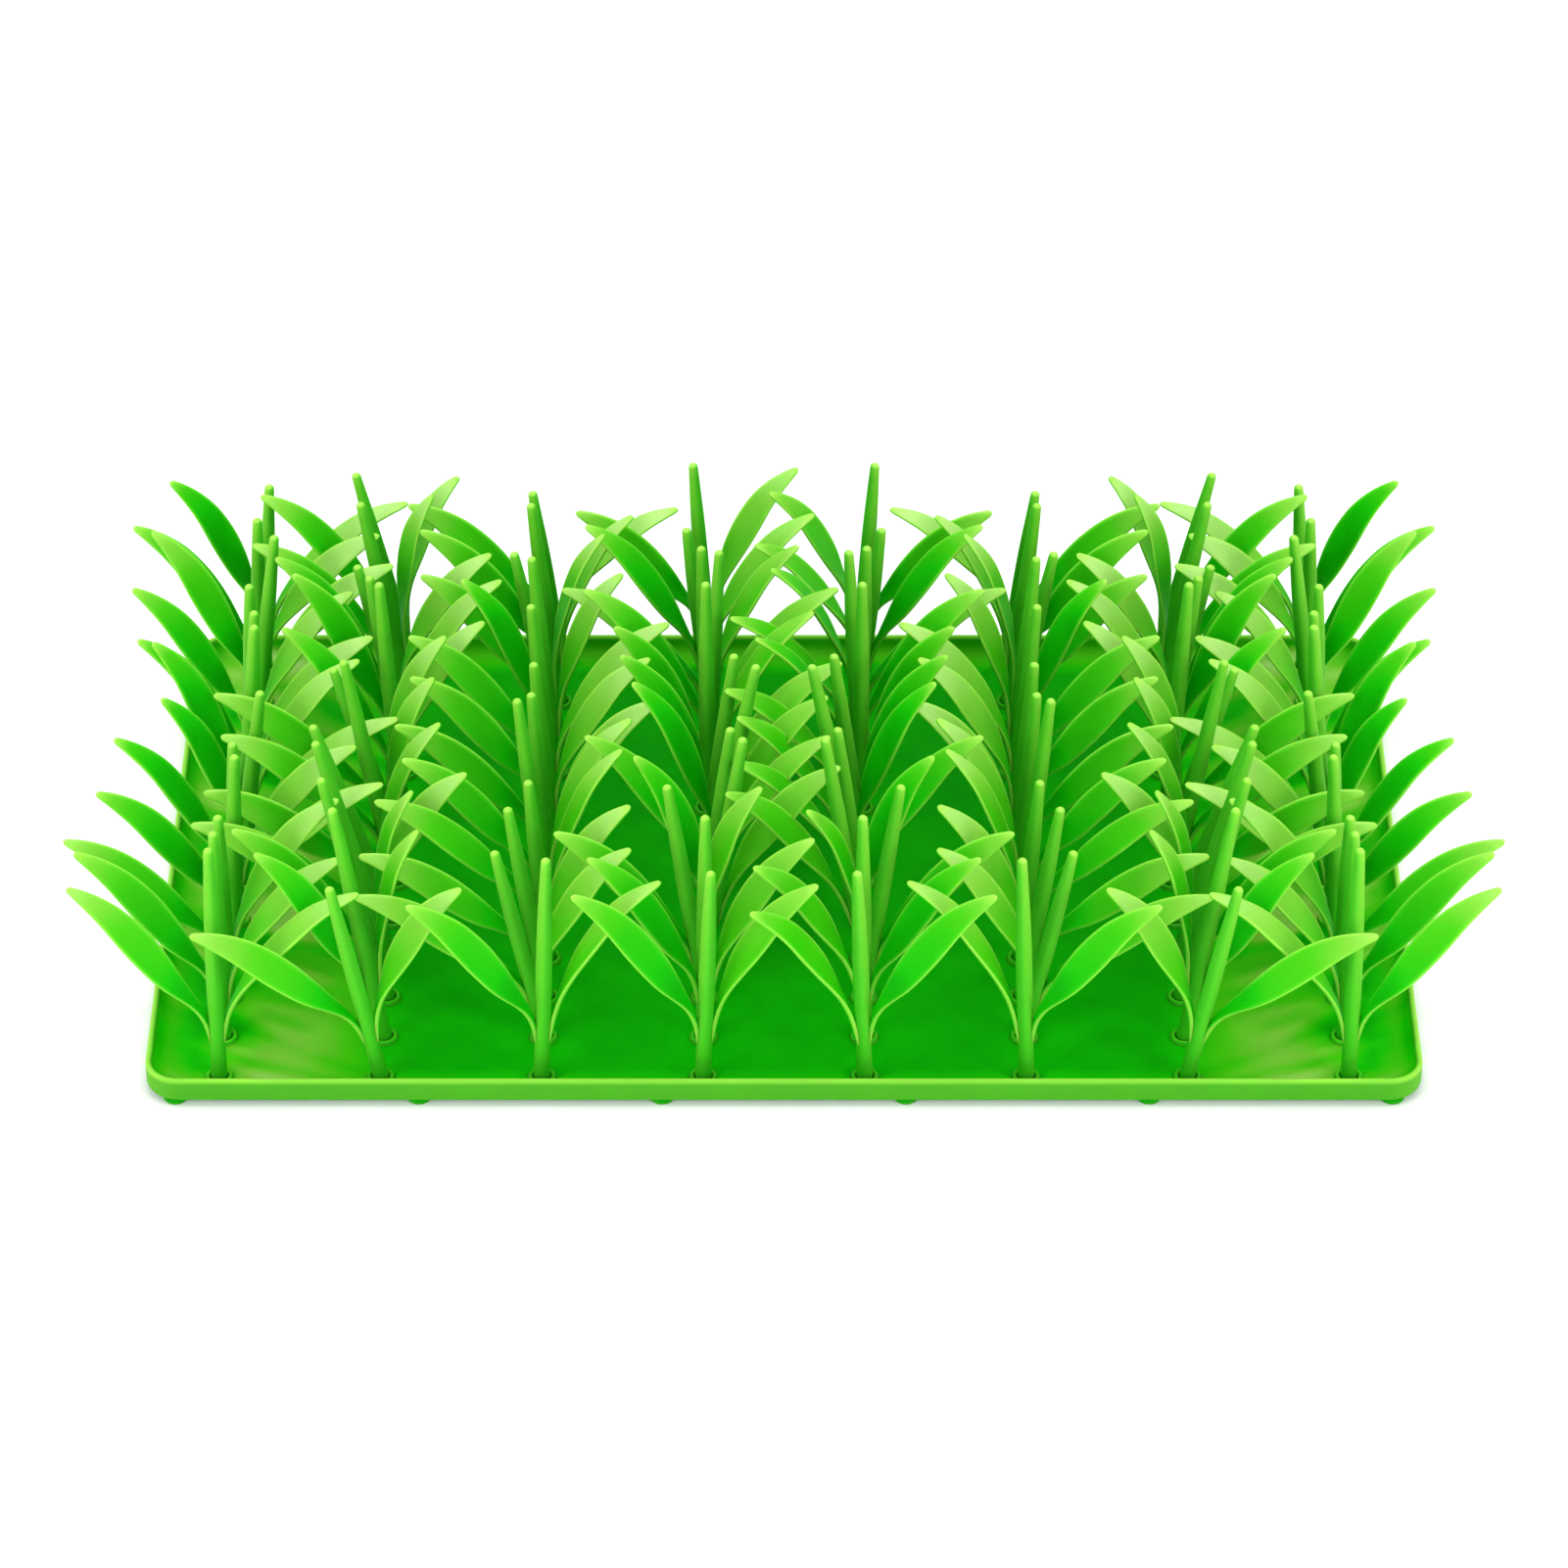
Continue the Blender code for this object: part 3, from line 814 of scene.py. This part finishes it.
def stem_line(place, root, longer):
    """The middle line of a stem and its finger, from the root strip to the tip."""
    turn = place.to_3x3()
    across, face = Vector((1, 0, 0)), Vector((0, -1, 0))
    finger_top = FINGER_TOP + longer
    rows = [(Vector((root.x, root.y, STRIP_TOP - ROOT_SINK)), across, face)]
    for index in range(LINE_STEPS + 1):
        height = COLLAR_TOP - FLOOR_TOP + (finger_top - COLLAR_TOP + FLOOR_TOP) * index / LINE_STEPS
        bend = BACK_PER_LONGER * longer * smooth_step((height - FORK_HIGH) / (finger_top - FORK_HIGH))
        rows.append((place @ Vector((0, bend, height)), turn @ across, turn @ face))
    return rows


def lines_object(name, lines):
    """Chains of points as one mesh, with their directions as attributes."""
    points = [row for line in lines for row in line]
    edges, first = [], 0
    for line in lines:
        edges += [(first + index, first + index + 1) for index in range(len(line) - 1)]
        first += len(line)
    mesh = bpy.data.meshes.new(name)
    mesh.from_pydata([point for point, _, _ in points], edges, [])
    for column, label in ((1, "line_across"), (2, "line_face")):
        attribute = mesh.attributes.new(label, "FLOAT_VECTOR", "POINT")
        for item, row in zip(attribute.data, points):
            item.vector = row[column]
    result = bpy.data.objects.new(name, mesh)
    bpy.context.scene.collection.objects.link(result)
    return result


# %% [markdown]
# ### The leaf blank
#
# The blank lies flat. X is across, Z is up and Y runs from 0 at the root to 1 at the tip,
# since its real length is that of the line it is bent along. Its section is a flat oval
# with blunt edges, cupped a little so that the middle is lower than its two edges. The leaf
# is widest past its middle and ends in a blunt rounded tip.

# %% Leaf blank
LEAF_WIDTHS = ((0.0, 2.3), (0.12, 2.5), (0.24, 4.0), (0.42, 8.4), (0.58, 10.2),
               (0.72, 9.4), (0.86, 6.5), (0.95, 3.7), (1.0, 1.8))
LEAF_THICKNESS = ((0.0, 0.8), (0.06, 1.7), (0.5, 1.7), (0.85, 1.4), (1.0, 1.1))
LEAF_CUP = 0.9 * MM
CUP_FULL_AT, CUP_FADES_OVER = 0.5, 0.3
ACROSS_WIDTH = 10.4 * MM
# Where the painted highlight on the leaf's edges begins and how far it spreads, and how long the painted
# pale tip is
EDGE_FROM, EDGE_OVER = 0.75, 0.2
LEAF_TIP_PALE = 0.10
LEAF_STATIONS = 30
TIP_LENGTH = 0.016
SECTION_POINTS = 16
SECTION_SQUARENESS = 0.62


def section_points(width, thickness, squareness):
    """A blunt oval as (x, z) pairs, counter-clockwise."""
    points = []
    for index in range(SECTION_POINTS):
        angle = math.tau * index / SECTION_POINTS
        c, s = math.cos(angle), math.sin(angle)
        points.append((math.copysign(abs(c) ** squareness, c) * width / 2,
                       math.copysign(abs(s) ** squareness, s) * thickness / 2))
    return points


def end_rounding(along, tip_length):
    """Narrows the last stretch to a half round."""
    left = max((1 - along) / tip_length, 0)
    return math.sqrt(max(1 - (1 - min(left, 1)) ** 2, 0.02))


def stations(count, tip_length, tip_count=5):
    """Places along a blank, with more of them on the rounded tip."""
    plain = [(1 - tip_length) * index / (count - 1) for index in range(count)]
    turns = [math.radians(90 * step / tip_count) for step in range(1, tip_count + 1)]
    return plain + [1 - tip_length * (1 - math.sin(turn)) for turn in turns]


def leaf_blank():
    """The flat leaf from which every leaf is bent."""
    rings, edges, acrosses, alongs = [], [], [], []
    for along in stations(LEAF_STATIONS, TIP_LENGTH):
        rounding = end_rounding(along, TIP_LENGTH)
        width = along_table(LEAF_WIDTHS, along) * MM * rounding
        thickness = along_table(LEAF_THICKNESS, along) * MM * (0.4 + 0.6 * rounding)
        cup = LEAF_CUP * smooth_step(along / CUP_FULL_AT) * smooth_step((1 - along) / CUP_FADES_OVER)
        tip = smooth_step((along - 1) / LEAF_TIP_PALE + 1)
        ring, edge, across = [], [], []
        for x, z in section_points(width, thickness, SECTION_SQUARENESS):
            side = abs(x) / max(width / 2, 1e-6)
            ring.append(Vector((x, along, z + cup * side * side)))
            edge.append(max(smooth_step((side - EDGE_FROM) / EDGE_OVER), tip))
            across.append(x / ACROSS_WIDTH)
        rings.append(ring[::-1])
        edges.append(edge[::-1])
        acrosses.append(across[::-1])
        alongs.append([along] * SECTION_POINTS)
    bm = bmesh.new()
    skin_rings(bm, rings, {"edge": edges, "across": acrosses, "along": alongs})
    return mesh_object("leaf_blank", bm, sharp_angle=80)


# %% [markdown]
# ### The stem and finger blank
#
# The stem is round and about 5 mm wide. Above the fork it flattens into a finger that is widest at a
# third of its height, with a soft ridge down its front, and tapers to a small round tip. Its colour is
# painted paler from its root to its tip: painted shade low down, painted light and highlight towards the
# tip.

# %% Stem blank
STEM_SHAPE = (   # place along, width, depth, squareness
    (0.0, 5.2, 4.4, 1.0),
    (0.18, 5.0, 4.2, 1.0),
    (0.30, 5.0, 3.9, 1.1),
    (0.48, 5.2, 3.7, 1.25),
    (0.70, 4.8, 3.4, 1.25),
    (0.90, 3.7, 2.9, 1.15),
    (1.0, 3.0, 2.5, 1.0),
)
STEM_STATIONS = 22
FINGER_TIP_LENGTH = 0.018
# The painted pale tip, and the painted highlight from the stem's root to the finger
FINGER_TIP_PALE = 0.07
STEM_EDGE, FINGER_EDGE = 0.3, 0.7


def stem_blank():
    """The straight stem and finger from which every one is bent."""
    rings, edges, acrosses, alongs = [], [], [], []
    tables = [[(row[0], row[column]) for row in STEM_SHAPE] for column in (1, 2, 3)]
    for along in stations(STEM_STATIONS, FINGER_TIP_LENGTH):
        rounding = end_rounding(along, FINGER_TIP_LENGTH)
        width, depth, squareness = (along_table(table, along) for table in tables)
        ring = [Vector((x, along, z)) for x, z in
                section_points(width * MM * rounding, depth * MM * rounding, squareness)]
        tip = smooth_step((along - 1) / FINGER_TIP_PALE + 1)
        rings.append(ring[::-1])
        edges.append([max(STEM_EDGE + (FINGER_EDGE - STEM_EDGE) * along, tip)] * SECTION_POINTS)
        acrosses.append([0.0] * SECTION_POINTS)
        alongs.append([along] * SECTION_POINTS)
    bm = bmesh.new()
    skin_rings(bm, rings, {"edge": edges, "across": acrosses, "along": alongs})
    return mesh_object("stem_blank", bm, sharp_angle=80)


leaf, stem = leaf_blank(), stem_blank()
print(f"a leaf has {len(leaf.data.polygons)} faces, a stem {len(stem.data.polygons)}")

# %% [markdown]
# ### Bending the blanks
#
# This tree does the bending. It turns the chains of points into curves, makes one copy of
# the blank for each, and numbers the copies. Then every point of a copy asks Sample Curve
# where its own curve is at the point's Y, and which way across and face are there, and moves
# to that place.

# %% A tree that bends a blank along lines
def bend_tree(material):
    """Bend a blank along each of the object's chains of points."""
    tree, size = geometry_tree("Bend Along Lines", {
        "Blank": "NodeSocketObject", "Pieces": "NodeSocketInt"})
    curves = tree.node("GeometryNodeMeshToCurve", None, {"Mesh": size["Geometry"]})
    blank = tree.node("GeometryNodeObjectInfo", None, {"Object": size["Blank"]}, "Geometry")
    places = tree.node("GeometryNodePoints", None, {"Count": size["Pieces"]})
    copies = tree.node("GeometryNodeInstanceOnPoints", None, {"Points": places, "Instance": blank})
    number = tree.node("GeometryNodeInputIndex")
    numbered = tree.node("GeometryNodeStoreNamedAttribute",
                         {"data_type": "INT", "domain": "INSTANCE"},
                         {"Geometry": copies, "Name": "line", "Value": number})
    real = tree.node("GeometryNodeRealizeInstances", None, {"Geometry": numbered})

    line = tree.node("GeometryNodeInputNamedAttribute", {"data_type": "INT"},
                     {"Name": "line"}, "Attribute")
    flat = tree.node("ShaderNodeSeparateXYZ", None, {"Vector": tree.node("GeometryNodeInputPosition")})
    along, upward = tree.more(flat, "Y"), tree.more(flat, "Z")

    def sampled(label):
        direction = tree.node("GeometryNodeInputNamedAttribute", {"data_type": "FLOAT_VECTOR"},
                              {"Name": label}, "Attribute")
        sockets = {"Curves": curves, "Value": direction, "Factor": along, "Curve Index": line}
        return tree.node("GeometryNodeSampleCurve", {"mode": "FACTOR", "data_type": "FLOAT_VECTOR"},
                         sockets, "Value")

    def further(start, direction, amount):
        shift = tree.node("ShaderNodeVectorMath", {"operation": "SCALE"},
                          {0: direction, "Scale": amount})
        return tree.node("ShaderNodeVectorMath", {"operation": "ADD"}, {0: start, 1: shift})

    across, face = sampled("line_across"), sampled("line_face")
    sideways = further(tree.more(across, "Position"), across, flat)
    bent = further(sideways, face, upward)
    moved = tree.node("GeometryNodeSetPosition", None, {"Geometry": real, "Position": bent})
    end_tree(tree, moved, material)
    return tree


BEND = bend_tree(grass_silicone)

# %% [markdown]
# ### The rows
#
# Each row's lines are worked out from its place and the two tables, both blanks are bent
# along them, and the root strip is added under the floor. The row then stands for its solid.

# %% Make the rows
STRIP_BEVEL = 0.3 * MM


def row_lines(row, y):
    """The stem lines and leaf lines of one row."""
    stems, leaves = [], []
    fingers = FINGERS[row]
    half = len(fingers)
    for column, x in enumerate(centred_places(COLUMNS, COLUMN_PITCH)):
        mirrored = column >= half
        outer_index = COLUMNS - 1 - column if mirrored else column
        chance = random.Random(SEED * 1000 + row * half + outer_index)
        outward, longer = (value * MM for value in fingers[outer_index])
        root = Vector((x, y, 0))
        place = sprig_place(root, outward if mirrored else -outward)
        stems.append(stem_line(place, root, longer))
        leaves += [leaf_line(place, *settings)
                   for settings in leaf_settings(chance, column, LEAVES[row][outer_index])]
    return stems, leaves


def root_strip(y):
    """The strip under the floor that joins the roots of a row."""
    length = (COLUMNS - 1) * COLUMN_PITCH + 2 * STRIP_END
    bm = bmesh.new()
    bm.verts.layers.float.new("edge")
    bm.verts.layers.float.new("across")
    middle = Matrix.Translation((0, y, (STRIP_TOP + STRIP_BOTTOM) / 2))
    size = Matrix.Diagonal((length, STRIP_WIDTH, STRIP_TOP - STRIP_BOTTOM, 1))
    bmesh.ops.create_cube(bm, size=1, matrix=middle @ size)
    bmesh.ops.bevel(bm, geom=bm.edges[:], offset=STRIP_BEVEL, segments=2, profile=0.5, affect="EDGES")
    return mesh_object("root_strip", bm)


def bend_blanks(name, blank, lines):
    """Bend a blank along lines and give the result."""
    guide = lines_object(name + "_lines", lines)
    bent = run_tree(name, BEND, guide, {"Blank": blank, "Pieces": len(lines)})
    bpy.data.objects.remove(guide, do_unlink=True)
    return bent


for row, (node, y) in enumerate(zip(ROW_NODES, centred_places(ROWS, ROW_PITCH))):
    stem_lines, leaf_lines = row_lines(row, y)
    grass = join_pieces(f"silicone_{node}", [
        bend_blanks("stems", stem, stem_lines),
        bend_blanks("leaves", leaf, leaf_lines),
        root_strip(y)], 70)
    dress(grass, grass_silicone, "grass_silicone", node)

for blank in (leaf, stem):
    bpy.data.objects.remove(blank, do_unlink=True)
print(f"each row has {len(grass.data.polygons)} faces")

# %% [markdown]
# ## The set
#
# The mat lies on a plain white surface in soft studio light. White light comes evenly from all round.
# Two lights stand low beyond the front corners and a weaker one in front, and the strongest hangs above.
# So the blades' upper sides are bright, and the floor between them stays deep and saturated, partly from
# these lights and partly from the light and shade painted into the silicone.

# %% Floor, lights and camera
def white_surface():
    """A wide white surface under the mat."""
    bm = bmesh.new()
    bmesh.ops.create_grid(bm, x_segments=1, y_segments=1, size=15)
    surface = mesh_object("studio_surface", bm, smooth=False)
    material = bpy.data.materials.new("studio_white")
    material.use_nodes = True
    shader = material.node_tree.nodes["Principled BSDF"]
    shader.inputs["Base Color"].default_value = (0.93, 0.93, 0.93, 1)
    shader.inputs["Roughness"].default_value = 0.9
    surface.data.materials.append(material)


def soft_light(name, place, aim, size, power):
    """A square soft light that looks at a point."""
    light = bpy.data.lights.new(name, "AREA")
    light.size = size
    light.energy = power
    lamp = bpy.data.objects.new(name, light)
    lamp.location = place
    lamp.rotation_euler = (Vector(aim) - Vector(place)).to_track_quat("-Z", "Y").to_euler()
    bpy.context.scene.collection.objects.link(lamp)


def studio_world(strength):
    """Even white light from all round."""
    world = bpy.data.worlds.new("studio")
    world.use_nodes = True
    background = world.node_tree.nodes["Background"]
    background.inputs["Color"].default_value = (1, 1, 1, 1)
    background.inputs["Strength"].default_value = strength
    bpy.context.scene.world = world


CAMERA_DISTANCE = 2.085
CAMERA_ELEVATION = math.radians(38)
FOCAL_PIXELS = 6496
FRAME_PIXELS = 1601
SENSOR = 36.0
ORIGIN_BELOW_MIDDLE = 90.4


def studio_camera():
    """A long lens that looks down on the mat from the front."""
    camera = bpy.data.cameras.new("camera")
    camera.sensor_width = SENSOR
    camera.lens = FOCAL_PIXELS * SENSOR / FRAME_PIXELS
    camera.clip_end = 50
    lift = math.atan(ORIGIN_BELOW_MIDDLE / FOCAL_PIXELS)
    stand = bpy.data.objects.new("camera", camera)
    stand.location = (0, -CAMERA_DISTANCE * math.cos(CAMERA_ELEVATION),
                      CAMERA_DISTANCE * math.sin(CAMERA_ELEVATION))
    stand.rotation_euler = (math.pi / 2 - CAMERA_ELEVATION + lift, 0, 0)
    bpy.context.scene.collection.objects.link(stand)
    bpy.context.scene.camera = stand


LIGHTS = (   # name, place, the point that it looks at, size, power
    ("left_light", (-1.3, -1.1, 0.8), (0, 0, 0.04), 0.6, 9),
    ("right_light", (1.3, -1.1, 0.8), (0, 0, 0.04), 0.6, 9),
    ("front_light", (0, -1.6, 1.1), (0, 0, 0.04), 0.8, 5),
    ("top_light", (0, 0.1, 1.8), (0, 0, 0), 0.9, 19),
)

white_surface()
studio_world(0.8)
for light_settings in LIGHTS:
    soft_light(*light_settings)
studio_camera()
bpy.context.scene.view_settings.view_transform = "Standard"
print(f"{len(LIGHTS)} lights and a camera set up")
